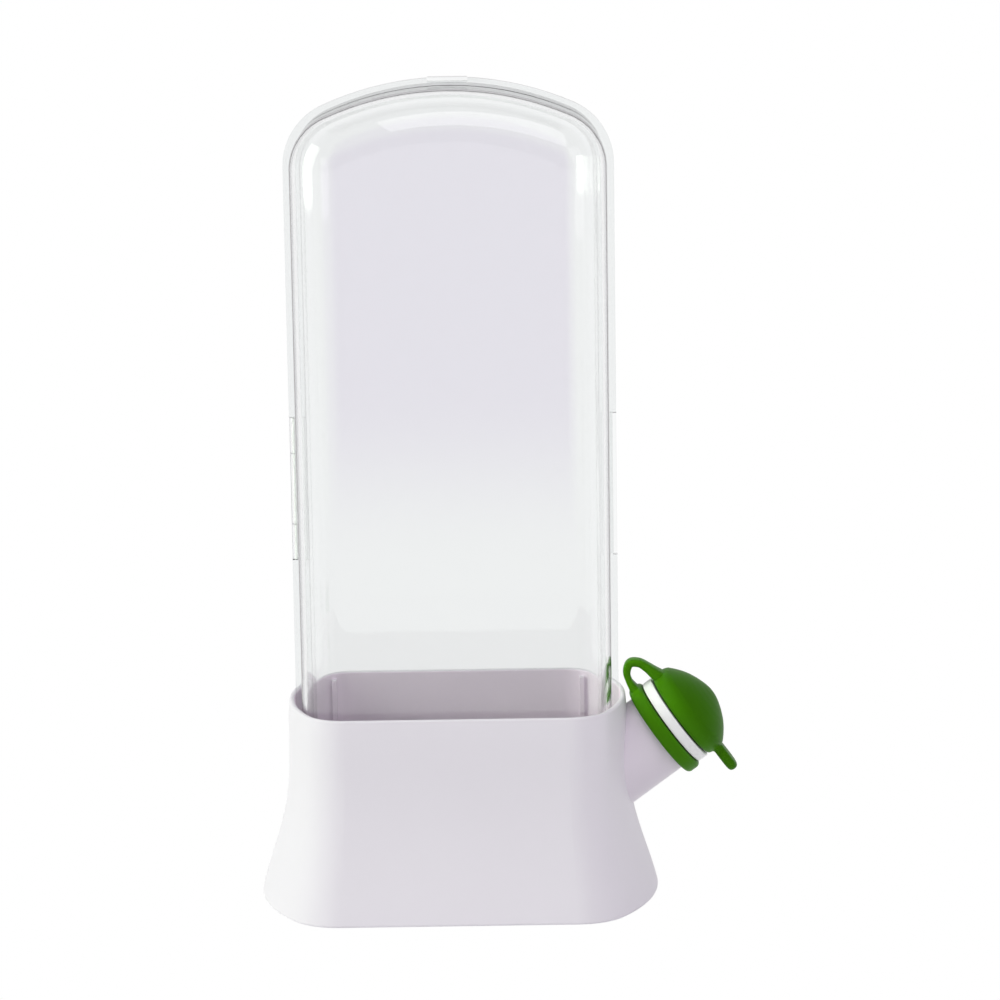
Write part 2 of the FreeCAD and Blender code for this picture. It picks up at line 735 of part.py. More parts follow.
def make_pod_tray(label, front):
    """One half of the pod: a deep tray with a flange, before its hinge and latches are added."""
    side = 1 if front else -1
    body = new_body(label)
    bind(body, "Placement.Base.z", POD_BOTTOM)
    gap = f"{side} * parting_gap / 2"
    block = new_sketch(body, "XZ_Plane", f"{label}_outline", gap)
    pod_outline(block, "tray", "flange_width", "0")
    pad(body, block, f"{label}_block", "pod_half_depth - parting_gap / 2", backwards=not front)
    room = new_sketch(body, "XZ_Plane", f"{label}_room_outline", gap)
    pod_outline(room, "room", "flange_width + pod_wall", "pod_wall")
    pocket(body, room, f"{label}_room", "pod_half_depth - pod_wall - parting_gap / 2", backwards=front)
    floor = now("pod_half_depth - pod_wall")
    depth = now("pod_half_depth")
    inner_radius = "pod_edge_radius - pod_wall"
    round_edges(body, f"{label}_inner_round", inner_radius, lambda p: near(abs(p.y), floor))
    round_edges(body, f"{label}_outer_round", "pod_edge_radius", lambda p: near(abs(p.y), depth))
    ring = new_sketch(body, "XZ_Plane", f"{label}_flange_outline", gap)
    pod_outline(ring, "outer", "0", "0")
    pod_outline(ring, "inner", "flange_width + pod_wall / 2", "pod_wall / 2")
    pad(body, ring, f"{label}_flange", "flange_thickness - parting_gap / 2", backwards=not front)
    return body


def add_drain_slots(body, front):
    side = -1 if front else 1
    sketch = new_sketch(body, "XY_Plane", "drain_slot_outline")
    middle = "(pod_half_depth - pod_edge_radius) / 2"
    span = "(drain_slot_count - 1) * drain_slot_pitch"
    left = f"-{span} / 2 - drain_slot_width / 2"
    right = f"-{span} / 2 + drain_slot_width / 2"
    front_y = f"{side} * {middle} - drain_slot_length / 2"
    back_y = f"{side} * {middle} + drain_slot_length / 2"
    polygon(sketch, [(left, front_y), (right, front_y), (right, back_y), (left, back_y)])
    slot = pocket(body, sketch, "drain_slot", "2 * pod_wall", backwards=True)
    row = body.newObject("PartDesign::LinearPattern", "drain_slots")
    row.Originals = [slot]
    row.Direction = (sketch, ["H_Axis"])
    bind(row, "Length", span)
    bind(row, "Occurrences", "drain_slot_count")
    body.Tip = row
    doc.recompute()


def add_hinge_room(body):
    """Cuts the flange away beside the knuckles and clears the wall round them."""
    strip = new_sketch(body, "XZ_Plane", "hinge_gap_outline")
    low = f"{HINGE_LOW} - knuckle_play"
    high = f"{HINGE_LOW} + hinge_length + knuckle_play"
    outside = "-pod_half_width - flange_width"
    inside = f"-{TRAY_HALF_WIDTH}"
    polygon(strip, [(outside, low), (inside, low), (inside, high), (outside, high)])
    pocket(body, strip, "hinge_gap", "4 * flange_thickness", middle=True)
    ring = new_sketch(body, "XY_Plane", "knuckle_room_outline", low)
    circle(ring, "room", f"-{HINGE_X}", "0", "knuckle_radius + knuckle_play")
    pocket(body, ring, "knuckle_room", "hinge_length + 2 * knuckle_play", backwards=True)


def add_knuckle(body, name, low, length, front):
    side = -1 if front else 1
    barrel = new_sketch(body, "XY_Plane", f"{name}_outline", low)
    circle(barrel, "barrel", f"-{HINGE_X}", "0", "knuckle_radius")
    web = new_sketch(body, "XY_Plane", f"{name}_web_outline", low)
    near_y = f"{side} * parting_gap"
    far_y = f"{side} * knuckle_radius"
    wall = f"-({TRAY_HALF_WIDTH} - pod_wall / 2)"
    polygon(web, [(f"-{HINGE_X}", near_y), (wall, near_y), (wall, far_y), (f"-{HINGE_X}", far_y)])
    pad(body, web, f"{name}_web", length)
    pad(body, barrel, name, length)


def add_pin_bore(body):
    bore = new_sketch(body, "XY_Plane", "pin_bore_outline", f"{HINGE_LOW} - knuckle_play")
    circle(bore, "bore", f"-{HINGE_X}", "0", "pin_radius + pin_clearance")
    pocket(body, bore, "pin_bore", "hinge_length + 2 * knuckle_play", backwards=True)


LATCH_Y = "(flange_thickness + latch_play)"
LATCH_BACK = "(flange_thickness + latch_play + latch_hook)"


def make_pod_front_shell():
    body = make_pod_tray("pod_front_shell", True)
    add_drain_slots(body, True)
    add_hinge_room(body)
    add_knuckle(body, "lower_knuckle", HINGE_LOW, "knuckle_length", True)
    add_knuckle(body, "upper_knuckle", f"{HINGE_LOW} + hinge_length - knuckle_length", "knuckle_length", True)
    add_pin_bore(body)
    side = new_sketch(body, "XY_Plane", "side_latch_outline", "hinge_height - latch_length / 2")
    lip = "pod_half_width - latch_lip"
    hook = "pod_half_width - latch_lip - latch_nib"
    front = "-flange_thickness"
    side_profile = [
        (lip, front),
        ("pod_half_width", front),
        ("pod_half_width", LATCH_BACK),
        (hook, LATCH_BACK),
        (hook, LATCH_Y),
        (lip, LATCH_Y),
    ]
    polygon(side, side_profile)
    pad(body, side, "side_latch", "latch_length")
    top = new_sketch(body, "YZ_Plane", "top_latch_outline")
    lip = "pod_height - latch_lip"
    hook = "pod_height - latch_lip - latch_nib"
    top_profile = [
        (front, lip),
        (front, "pod_height"),
        (LATCH_BACK, "pod_height"),
        (LATCH_BACK, hook),
        (LATCH_Y, hook),
        (LATCH_Y, lip),
    ]
    polygon(top, top_profile)
    pad(body, top, "top_latch", "top_latch_length", middle=True)
    return body


def make_pod_rear_shell():
    body = make_pod_tray("pod_rear_shell", False)
    add_drain_slots(body, False)
    add_hinge_room(body)
    low = f"{HINGE_LOW} + knuckle_length + knuckle_play"
    add_knuckle(body, "middle_knuckle", low, "hinge_length - 2 * (knuckle_length + knuckle_play)", False)
    add_pin_bore(body)
    deep = "4 * flange_thickness"
    side = new_sketch(body, "XZ_Plane", "side_latch_gap_outline")
    inner = "pod_half_width - latch_lip - latch_play"
    outer = "pod_half_width + flange_width"
    low = "hinge_height - latch_length / 2 - latch_play"
    high = "hinge_height + latch_length / 2 + latch_play"
    polygon(side, [(inner, low), (outer, low), (outer, high), (inner, high)])
    pocket(body, side, "side_latch_gap", deep, middle=True)
    top = new_sketch(body, "XZ_Plane", "top_latch_gap_outline")
    half = "top_latch_length / 2 + latch_play"
    low = "pod_height - latch_lip - latch_play"
    high = "pod_height + flange_width"
    polygon(top, [(f"-({half})", low), (half, low), (half, high), (f"-({half})", high)])
    pocket(body, top, "top_latch_gap", deep, middle=True)
    return body


def make_hinge_pin():
    body = new_body("hinge_pin")
    bind(body, "Placement.Base.z", POD_BOTTOM)
    sketch = new_sketch(body, "XY_Plane", "pin_outline", HINGE_LOW)
    circle(sketch, "pin", f"-{HINGE_X}", "0", "pin_radius")
    pad(body, sketch, "pin", "hinge_length")
    return body


def check_document():
    """Stops before anything is written if any object of the document has failed."""
    for thing in doc.Objects:
        if "Invalid" in thing.State or "Error" in thing.State:
            raise SystemExit(f"{thing.Label} is not valid: {thing.State}")


well = make_well_core()
subparts = [
    make_base_shell(well),
    make_base_floor(),
    make_spout_neck(well),
    make_stopper_collar(),
    make_stopper_strap(),
    make_stopper_cap(),
    make_pod_front_shell(),
    make_pod_rear_shell(),
    make_hinge_pin(),
]
doc.recompute()
check_document()
os.makedirs("parts", exist_ok=True)
for thing in subparts:
    shape = thing.Shape
    if shape.isNull() or not shape.isValid():
        raise SystemExit(f"{thing.Label} has no valid shape")
    print(thing.Label, len(shape.Solids), "solid", round(shape.Volume, 1), "mm3")
for thing in subparts:
    thing.Shape.exportStep(f"parts/{thing.Label}.step")
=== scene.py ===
"""Herb keeper: a clear pod of two moulded halves, standing in a flared white water base whose slanted
filling spout is closed by a green silicone stopper. Metres, +Z up, the spout towards +X."""

import math

import bmesh
import bpy
from mathutils import Matrix, Vector


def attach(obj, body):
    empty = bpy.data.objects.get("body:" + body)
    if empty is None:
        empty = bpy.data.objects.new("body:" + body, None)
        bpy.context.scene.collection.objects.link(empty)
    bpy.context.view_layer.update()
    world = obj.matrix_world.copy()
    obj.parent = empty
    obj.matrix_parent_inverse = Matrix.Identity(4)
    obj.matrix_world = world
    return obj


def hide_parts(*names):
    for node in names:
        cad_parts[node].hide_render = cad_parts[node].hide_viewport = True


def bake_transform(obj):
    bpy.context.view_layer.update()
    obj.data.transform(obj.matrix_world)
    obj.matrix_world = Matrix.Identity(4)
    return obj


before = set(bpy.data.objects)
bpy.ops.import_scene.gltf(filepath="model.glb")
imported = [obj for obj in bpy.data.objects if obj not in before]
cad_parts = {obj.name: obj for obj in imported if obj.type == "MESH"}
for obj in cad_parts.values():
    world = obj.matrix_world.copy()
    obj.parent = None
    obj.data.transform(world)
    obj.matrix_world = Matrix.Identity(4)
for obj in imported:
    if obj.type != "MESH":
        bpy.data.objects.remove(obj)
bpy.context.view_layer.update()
scene = bpy.context.scene
scene.view_settings.view_transform = "Standard"


# Camera
# A long lens about 1.2 m in front of the keeper, a little above it and looking down by 10.7 degrees. The
# picture is rolled by less than a degree, as the photograph is.
CAMERA_PLACE = Vector((0.0156, -1.2016, 0.3635))
CAMERA_DOWN = math.radians(10.74)
CAMERA_ROLL = math.radians(0.85)
LENS_MM = 129.6
SENSOR_MM = 36.0

camera_data = bpy.data.cameras.new("camera")
camera_data.lens = LENS_MM
camera_data.sensor_width = SENSOR_MM
camera = bpy.data.objects.new("camera", camera_data)
scene.collection.objects.link(camera)
camera.matrix_world = (
    Matrix.Translation(CAMERA_PLACE)
    @ Matrix.Rotation(math.pi / 2 - CAMERA_DOWN, 4, "X")
    @ Matrix.Rotation(-CAMERA_ROLL, 4, "Z")
)
scene.camera = camera


# Studio floor and backdrop
# A white paper sweep in a pale room. Rays from the camera, and those that gloss and clear plastic send on,
# see it evenly lit, while the floor still takes the keeper's own soft shadow.
PAPER_WHITE = "#F4F4F5"
LIT_WHITE = "#FFFFFF"
FLOOR_HALF = 4.0
FILL_COLOUR = "#FBFAFF"
FILL_STRENGTH = 0.36
# The room behind the camera is greyer than the paper, which ends over this span of a ray's Y
ROOM_GREY = 0.7
PAPER_EDGE = (-0.15, 0.3)


def srgb(hex_code):
    """Linear colour of an sRGB hex value."""
    channels = [int(hex_code[i : i + 2], 16) / 255 for i in (1, 3, 5)]
    linear = [c / 12.92 if c <= 0.04045 else ((c + 0.055) / 1.055) ** 2.4 for c in channels]
    return (*linear, 1.0)


def add_node(tree, kind, settings=None, sockets=None, links=None):
    """One node: its properties, its socket values and the sockets that feed it."""
    node = tree.nodes.new(kind)
    for name, value in (settings or {}).items():
        setattr(node, name, value)
    for name, value in (sockets or {}).items():
        node.inputs[name].default_value = value
    for name, source in (links or {}).items():
        tree.links.new(source, node.inputs[name])
    return node


def new_material(name):
    """An empty node material, its tree and its output."""
    material = bpy.data.materials.new(name)
    material.use_nodes = True
    material.node_tree.nodes.clear()
    output = add_node(material.node_tree, "ShaderNodeOutputMaterial")
    return material, material.node_tree, output


def seen_directly(tree):
    """1 for rays from the camera, and for those that gloss or clear plastic send on."""
    ray = add_node(tree, "ShaderNodeLightPath").outputs
    seen = ray["Is Camera Ray"]
    for sent_on in ("Is Glossy Ray", "Is Transmission Ray"):
        either = add_node(tree, "ShaderNodeMath", {"operation": "MAXIMUM"}, links={0: seen, 1: ray[sent_on]})
        seen = either.outputs[0]
    return seen


floor_paper, tree, output = new_material("white_paper_sweep")
paper = add_node(tree, "ShaderNodeBsdfDiffuse", sockets={"Color": srgb(PAPER_WHITE)})
lit = add_node(tree, "ShaderNodeEmission", sockets={"Color": srgb(LIT_WHITE), "Strength": 1.0})
sweep = add_node(
    tree,
    "ShaderNodeMixShader",
    links={0: seen_directly(tree), 1: paper.outputs[0], 2: lit.outputs[0]},
)
tree.links.new(sweep.outputs[0], output.inputs["Surface"])

floor_mesh = bpy.data.meshes.new("studio_floor")
shape = bmesh.new()
bmesh.ops.create_grid(shape, x_segments=1, y_segments=1, size=FLOOR_HALF)
shape.to_mesh(floor_mesh)
shape.free()
floor_mesh.materials.append(floor_paper)
floor = bpy.data.objects.new("studio_floor", floor_mesh)
scene.collection.objects.link(floor)

scene.world = bpy.data.worlds.new("studio_world")
scene.world.use_nodes = True
tree = scene.world.node_tree
tree.nodes.clear()
fill = add_node(
    tree, "ShaderNodeBackground", sockets={"Color": srgb(FILL_COLOUR), "Strength": FILL_STRENGTH}
)
ray_way = add_node(
    tree,
    "ShaderNodeSeparateXYZ",
    links={"Vector": add_node(tree, "ShaderNodeTexCoord").outputs["Generated"]},
)
paper_light = add_node(
    tree,
    "ShaderNodeMapRange",
    {"interpolation_type": "SMOOTHSTEP"},
    {"From Min": PAPER_EDGE[0], "From Max": PAPER_EDGE[1], "To Min": ROOM_GREY, "To Max": 1.0},
    {"Value": ray_way.outputs["Y"]},
)
backdrop = add_node(
    tree,
    "ShaderNodeBackground",
    sockets={"Color": srgb(LIT_WHITE)},
    links={"Strength": paper_light.outputs["Result"]},
)
room = add_node(
    tree,
    "ShaderNodeMixShader",
    links={0: seen_directly(tree), 1: fill.outputs[0], 2: backdrop.outputs[0]},
)
add_node(tree, "ShaderNodeOutputWorld", links={"Surface": room.outputs[0]})


# Studio lamps
# A large soft box on the left, a weaker one on the right and one overhead, in front. The gloss of the clear
# pod doesn't show them, as it doesn't in the photograph.
# Each: name, place, width and height in metres, watts, colour.
SOFT_BOXES = [
    ("left_soft_box", (-1.6, -0.35, 0.7), (1.0, 1.4), 18.5, "#F6FFEE"),
    ("right_soft_box", (1.3, -1.0, 0.6), (0.8, 1.2), 3.0, "#FFF8FF"),
    ("top_soft_box", (0.2, -0.85, 1.5), (1.2, 1.0), 7.5, "#FFFCFF"),
]
LAMP_TARGET = Vector((0.0, 0.0, 0.13))

for name, place, size, watts, colour in SOFT_BOXES:
    lamp_data = bpy.data.lights.new(name, "AREA")
    lamp_data.color = srgb(colour)[:3]
    lamp_data.shape = "RECTANGLE"
    lamp_data.size, lamp_data.size_y = size
    lamp_data.energy = watts
    lamp = bpy.data.objects.new(name, lamp_data)
    scene.collection.objects.link(lamp)
    lamp.location = place
    lamp.rotation_euler = (LAMP_TARGET - Vector(place)).to_track_quat("-Z", "Y").to_euler()
    lamp.visible_camera = False
    lamp.visible_glossy = False


# Water base
# One injection moulding in white ABS with a fine spark-eroded texture outside, and its floor plate, which
# is welded in from below. The texture gives it a satin skin, and the plastic has a faint lilac cast.
ABS_WHITE = "#F0ECF3"
ABS_SHADE = "#ECE8EF"
ABS_ROUGHNESS = 0.42
ABS_GRAIN_MM = 0.35
ABS_GRAIN_HEIGHT_MM = 0.02
# The inner walls are painted a lighter, deeper lilac: painted light, standing for light that passes between
# them
INSIDE_PAINTED_LIGHT_LILAC = "#FFF0FF"
SHEEN_SPREAD = (-0.05, 0.07)


def moulded_plastic(name, base, shade, roughness, grain_mm, grain_height_mm, flow_mm=60.0):
    """Opaque moulded plastic, with a slow drift of colour along its flow and the mould's fine grain. Gives
    the material and its shader."""
    material, tree, output = new_material(name)
    point = add_node(tree, "ShaderNodeTexCoord").outputs["Object"]
    flow = add_node(
        tree,
        "ShaderNodeTexNoise",
        sockets={"Scale": 1000.0 / flow_mm, "Detail": 2.0, "Roughness": 0.4},
        links={"Vector": point},
    )
    drift = add_node(
        tree,
        "ShaderNodeMix",
        {"data_type": "RGBA"},
        {6: srgb(base), 7: srgb(shade)},
        {0: flow.outputs["Fac"]},
    )
    grain = add_node(
        tree,
        "ShaderNodeTexNoise",
        sockets={"Scale": 1000.0 / grain_mm, "Detail": 3.0, "Roughness": 0.6},
        links={"Vector": point},
    )
    sheen = add_node(
        tree,
        "ShaderNodeMapRange",
        sockets={"To Min": roughness + SHEEN_SPREAD[0], "To Max": roughness + SHEEN_SPREAD[1]},
        links={"Value": grain.outputs["Fac"]},
    )
    bump = add_node(
        tree,
        "ShaderNodeBump",
        sockets={"Strength": 0.35, "Distance": grain_height_mm / 1000.0},
        links={"Height": grain.outputs["Fac"]},
    )
    shader = add_node(
        tree,
        "ShaderNodeBsdfPrincipled",
        sockets={"IOR": 1.5},
        links={
            "Base Color": drift.outputs[2],
            "Roughness": sheen.outputs["Result"],
            "Normal": bump.outputs["Normal"],
        },
    )
    tree.links.new(shader.outputs[0], output.inputs["Surface"])
    return material, shader


def dress(node, material):
    """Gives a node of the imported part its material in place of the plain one."""
    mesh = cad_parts[node].data
    mesh.materials.clear()
    mesh.materials.append(material)


white_abs, abs_shader = moulded_plastic(
    "moulded_white_abs", ABS_WHITE, ABS_SHADE, ABS_ROUGHNESS, ABS_GRAIN_MM, ABS_GRAIN_HEIGHT_MM
)
tree = white_abs.node_tree
surface = add_node(tree, "ShaderNodeTexCoord").outputs
outward = add_node(
    tree,
    "ShaderNodeVectorMath",
    {"operation": "DOT_PRODUCT"},
    links={0: surface["Object"], 1: surface["Normal"]},
)
inside = add_node(
    tree, "ShaderNodeMath", {"operation": "LESS_THAN"}, {1: 0.0}, {0: outward.outputs["Value"]}
)
# Inner faces take the painted light, a lighter and deeper lilac
inside_painted_light = add_node(
    tree,
    "ShaderNodeMix",
    {"data_type": "RGBA"},
    {7: srgb(INSIDE_PAINTED_LIGHT_LILAC)},
    {0: inside.outputs[0], 6: abs_shader.inputs["Base Color"].links[0].from_socket},
)
tree.links.new(inside_painted_light.outputs[2], abs_shader.inputs["Base Color"])
for node in ("base_shell", "base_floor"):
    dress(node, white_abs)


# Spout neck
# A separate tube of white ABS, polished and so glossier than the base, and welded into its end wall. Up to
# the collar it has the base's lilac cast, painted darker there as shade near the base; a painted shadow lies
# in the groove between collar and lip, and the lip is bright white.
NECK_WHITE = "#FDFDFD"
NECK_SHADE = "#FAFAFA"
NECK_ROUGHNESS = 0.3
NECK_GRAIN_MM = 0.5
NECK_GRAIN_HEIGHT_MM = 0.01
# The base's lilac cast, painted darker as shade on the neck up to the collar
NECK_LILAC_AND_SHADE = "#E9E1EB"
NECK_ALONG_MM = (3.8, 4.0)
# A painted shadow on the neck's outside, in the gap between collar and lip
GROOVE_PAINTED_SHADOW = "#1E2A14"
GROOVE_ALONG_MM = (5.2, 5.3)

# The spout's own frame, in millimetres: origin in the middle of the collar's back face, Z out of the mouth,
# and -X the side that the stopper's strap is on
SPOUT_TILT = math.radians(36.5)
SPOUT_PLACE = Vector((0.0689, 0.0, 0.0537))
SPOUT_WAY = Vector((math.cos(SPOUT_TILT), 0.0, math.sin(SPOUT_TILT)))
spout_frame = (
    Matrix.Translation(SPOUT_PLACE)
    @ Matrix.Rotation(math.pi / 2 - SPOUT_TILT, 4, "Y")
    @ Matrix.Scale(0.001, 4)
)


def colour_along_spout(shader, near, span_mm, outside_only=False):
    """Another colour on the near side of a place along the spout, faded over a span in millimetres, and
    left out of the bore where only the outside takes it."""
    tree = shader.id_data
    surface = add_node(tree, "ShaderNodeTexCoord").outputs
    far = shader.inputs["Base Color"].links[0].from_socket
    along = add_node(
        tree,
        "ShaderNodeVectorMath",
        {"operation": "DOT_PRODUCT"},
        {1: SPOUT_WAY},
        {0: surface["Object"]},
    )
    start = SPOUT_PLACE.dot(SPOUT_WAY)
    reach = add_node(
        tree,
        "ShaderNodeMapRange",
        {"interpolation_type": "SMOOTHSTEP"},
        {"From Min": start + span_mm[0] / 1000, "From Max": start + span_mm[1] / 1000},
        {"Value": along.outputs["Value"]},
    )
    if outside_only:
        arm = add_node(
            tree, "ShaderNodeVectorMath", {"operation": "SUBTRACT"}, {1: SPOUT_PLACE}, {0: surface["Object"]}
        )
        outward = add_node(
            tree,
            "ShaderNodeVectorMath",
            {"operation": "DOT_PRODUCT"},
            links={0: arm.outputs[0], 1: surface["Normal"]},
        )
        bore = add_node(
            tree, "ShaderNodeMath", {"operation": "LESS_THAN"}, {1: 0.0}, {0: outward.outputs["Value"]}
        )
        reach = add_node(
            tree, "ShaderNodeMath", {"operation": "MAXIMUM"}, links={0: reach.outputs[0], 1: bore.outputs[0]}
        )
    mix = add_node(
        tree,
        "ShaderNodeMix",
        {"data_type": "RGBA"},
        {6: srgb(near)},
        {0: reach.outputs[0], 7: far},
    )
    tree.links.new(mix.outputs[2], shader.inputs["Base Color"])


bright_abs, neck_shader = moulded_plastic(
    "polished_bright_white_abs", NECK_WHITE, NECK_SHADE, NECK_ROUGHNESS, NECK_GRAIN_MM, NECK_GRAIN_HEIGHT_MM
)
# Painted shadow in the groove between collar and lip, kept out of the bore
colour_along_spout(neck_shader, GROOVE_PAINTED_SHADOW, GROOVE_ALONG_MM, outside_only=True)
# The lilac cast with painted shade, up to the collar
colour_along_spout(neck_shader, NECK_LILAC_AND_SHADE, NECK_ALONG_MM)
dress("spout_neck", bright_abs)


# Silicone stopper
# Collar, strap and domed cap are one compression moulding in green silicone, stretched over the neck. Its
# skin is satin, nearly without gloss. Up to the cap's shoulder it is painted a lighter, yellower green than
# the dome: painted light, standing for light through the thin walls and the shoulder's highlight.
SILICONE_GREEN = "#3A7100"
SILICONE_SHADE = "#346900"
# Painted light: lighter and yellower up to the cap's shoulder, faded out over the span below
SILICONE_PAINTED_LIGHT = "#417D05"
PAINTED_LIGHT_ALONG_MM = (10.5, 16.0)
SILICONE_ROUGHNESS = 0.42
SILICONE_GRAIN_MM = 0.6
SILICONE_GRAIN_HEIGHT_MM = 0.02
SILICONE_FLOW_MM = 25.0
SILICONE_SKIN = {
    "Subsurface Weight": 0.04,
    "Subsurface Radius": (1.0, 0.8, 0.6),
    "Subsurface Scale": 0.001,
    "Specular IOR Level": 0.06,
}

silicone, silicone_shader = moulded_plastic(
    "moulded_green_silicone",
    SILICONE_GREEN,
    SILICONE_SHADE,
    SILICONE_ROUGHNESS,
    SILICONE_GRAIN_MM,
    SILICONE_GRAIN_HEIGHT_MM,
    SILICONE_FLOW_MM,
)
for name, value in SILICONE_SKIN.items():
    silicone_shader.inputs[name].default_value = value
# Painted light on the collar, strap and the cap's side wall
colour_along_spout(silicone_shader, SILICONE_PAINTED_LIGHT, PAINTED_LIGHT_ALONG_MM)
dress("stopper_collar", silicone)


# Stopper cap
# The moulding's domed end, with a hollow plug that goes into the neck and a flat pull tab below. The cap is
# turned from a profile, in millimetres out from the spout's axis and along it.
CAP_SEAT = 9.4
CAP_PROFILE = [
    (0.0, CAP_SEAT - 0.8),
    (9.6, CAP_SEAT - 0.8),
    (10.0, CAP_SEAT - 4.0),
    (11.4, CAP_SEAT - 4.1),
    (12.1, CAP_SEAT),
    (15.3, CAP_SEAT),
    (16.1, CAP_SEAT + 0.35),
    (16.4, CAP_SEAT + 1.3),
    (16.5, CAP_SEAT + 3.2),
    (16.45, CAP_SEAT + 4.8),
    (15.9, CAP_SEAT + 6.3),
    (14.1, CAP_SEAT + 8.0),
    (12.1, CAP_SEAT + 9.6),
    (9.9, CAP_SEAT + 11.0),
    (7.0, CAP_SEAT + 12.35),
    (4.0, CAP_SEAT + 13.4),
    (1.8, CAP_SEAT + 13.9),
    (0.0, CAP_SEAT + 14.0),
]
CAP_STEPS = 128
# The tab is a flat tongue whose root reaches into the cap. Each layer: height and how far it spreads.
TAB_CENTRE = (21.6, CAP_SEAT + 3.75)
TAB_HALF = (4.75, 4.8, 1.75)
TAB_ROOT = 6.0
TAB_LAYERS = [(-1.0, 0.3), (-0.9, 0.62), (-0.6, 0.88), (0.0, 1.0), (0.6, 0.88), (0.9, 0.62), (1.0, 0.3)]
TAB_STEPS = 48
TAB_SQUARENESS = 0.8
# Remeshing joins tab and cap in one skin, and easing it gives their joint a soft fillet
SKIN_VOXEL = 0.00038
EASE_FACTOR = 0.5
EASE_ROUNDS = 12


def skin_between(shape, rings):
    """Four-sided faces between each ring of points and the next."""
    count = len(rings[0])
    for low, high in zip(rings, rings[1:]):
        for step in range(count):
            after = (step + 1) % count
            shape.faces.new((low[step], low[after], high[after], high[step]))


def finished_piece(name, shape, material):
    """A smooth object with its place in its mesh, from a shape in metres."""
    mesh = bpy.data.meshes.new(name)
    shape.to_mesh(mesh)
    shape.free()
    mesh.materials.append(material)
    for face in mesh.polygons:
        face.use_smooth = True
    piece = bpy.data.objects.new(name, mesh)
    scene.collection.objects.link(piece)
    return piece


cap_shape = bmesh.new()
rings = []
for radius, height in CAP_PROFILE[1:-1]:
    ring = []
    for step in range(CAP_STEPS):
        turn = 2 * math.pi * step / CAP_STEPS
        ring.append(cap_shape.verts.new((radius * math.cos(turn), radius * math.sin(turn), height)))
    rings.append(ring)
skin_between(cap_shape, rings)
for ring, height in ((rings[0], CAP_PROFILE[0][1]), (rings[-1], CAP_PROFILE[-1][1])):
    middle = cap_shape.verts.new((0.0, 0.0, height))
    for step in range(CAP_STEPS):
        cap_shape.faces.new((middle, ring[step], ring[(step + 1) % CAP_STEPS]))
bmesh.ops.recalc_face_normals(cap_shape, faces=cap_shape.faces)

tab_shape = bmesh.new()
rings = []
for level, spread in TAB_LAYERS:
    inset = (1 - spread) * TAB_HALF[2]
    ring = []
    for step in range(TAB_STEPS):
        turn = 2 * math.pi * step / TAB_STEPS
        c, w = math.cos(turn), math.sin(turn)
        reach = TAB_HALF[0] + (TAB_ROOT if c < 0 else 0.0)
        x = TAB_CENTRE[0] + (reach - inset) * c
        y = (TAB_HALF[1] - inset) * math.copysign(abs(w) ** TAB_SQUARENESS, w)
        ring.append(tab_shape.verts.new((x, y, TAB_CENTRE[1] + TAB_HALF[2] * level)))
    rings.append(ring)
skin_between(tab_shape, rings)
tab_shape.faces.new(list(reversed(rings[0])))
tab_shape.faces.new(rings[-1])
bmesh.ops.recalc_face_normals(tab_shape, faces=tab_shape.faces)
tab_mesh = bpy.data.meshes.new("tab")
tab_shape.to_mesh(tab_mesh)
tab_shape.free()
cap_shape.from_mesh(tab_mesh)
bpy.data.meshes.remove(tab_mesh)

cap_shape.transform(spout_frame)
cap = finished_piece("stopper_cap_moulding", cap_shape, silicone)
melt = cap.modifiers.new("melt", "REMESH")
melt.mode = "VOXEL"
melt.voxel_size = SKIN_VOXEL
ease = cap.modifiers.new("ease", "SMOOTH")
ease.factor = EASE_FACTOR
ease.iterations = EASE_ROUNDS
bpy.context.view_layer.update()
cap_skin = bpy.data.meshes.new_from_object(cap.evaluated_get(bpy.context.evaluated_depsgraph_get()))
cap.modifiers.clear()
cap.data = cap_skin
for face in cap_skin.polygons:
    face.use_smooth = True
cap_skin.materials.clear()
cap_skin.materials.append(silicone)
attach(cap, "cap")
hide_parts("stopper_cap")


# Stopper strap
# The moulding's flat band, which leaves the collar, loops over the lip and runs out on the cap's shoulder,
# thicker at both roots.
# Each station, in millimetres: along the spout, out from its axis, half thickness, half width.
STRAP_STATIONS = [
    (2.6, 16.4, 1.9, 4.0),
    (2.6, 18.2, 1.5, 3.5),
    (2.9, 20.8, 1.15, 3.1),
    (4.1, 23.6, 1.3, 3.0),
    (6.8, 25.3, 1.35, 3.0),
    (9.3, 23.6, 1.4, 3.0),
    (10.5, 20.9, 1.55, 3.2),
    (11.3, 18.0, 1.9, 3.7),
    (12.1, 15.0, 2.4, 4.3),
]
STRAP_CUTS = 8
STRAP_AROUND = 20
# Powers that square off the band's section, across and through it
STRAP_SQUARENESS = (0.5, 0.6)


def smooth_through(stations, cuts):
    """Catmull-Rom stations between the given ones."""
    out = []
    last = len(stations) - 1
    for index in range(last):
        four = [stations[min(max(index + k, 0), last)] for k in (-1, 0, 1, 2)]
        for cut in range(cuts):
            t = cut / cuts
            row = []
            for a, b, c, d in zip(*four):
                square = (2 * a - 5 * b + 4 * c - d) * t**2
                cube = (3 * b - a - 3 * c + d) * t**3
                row.append(0.5 * (2 * b + (c - a) * t + square + cube))
            out.append(tuple(row))
    out.append(stations[-1])
    return out


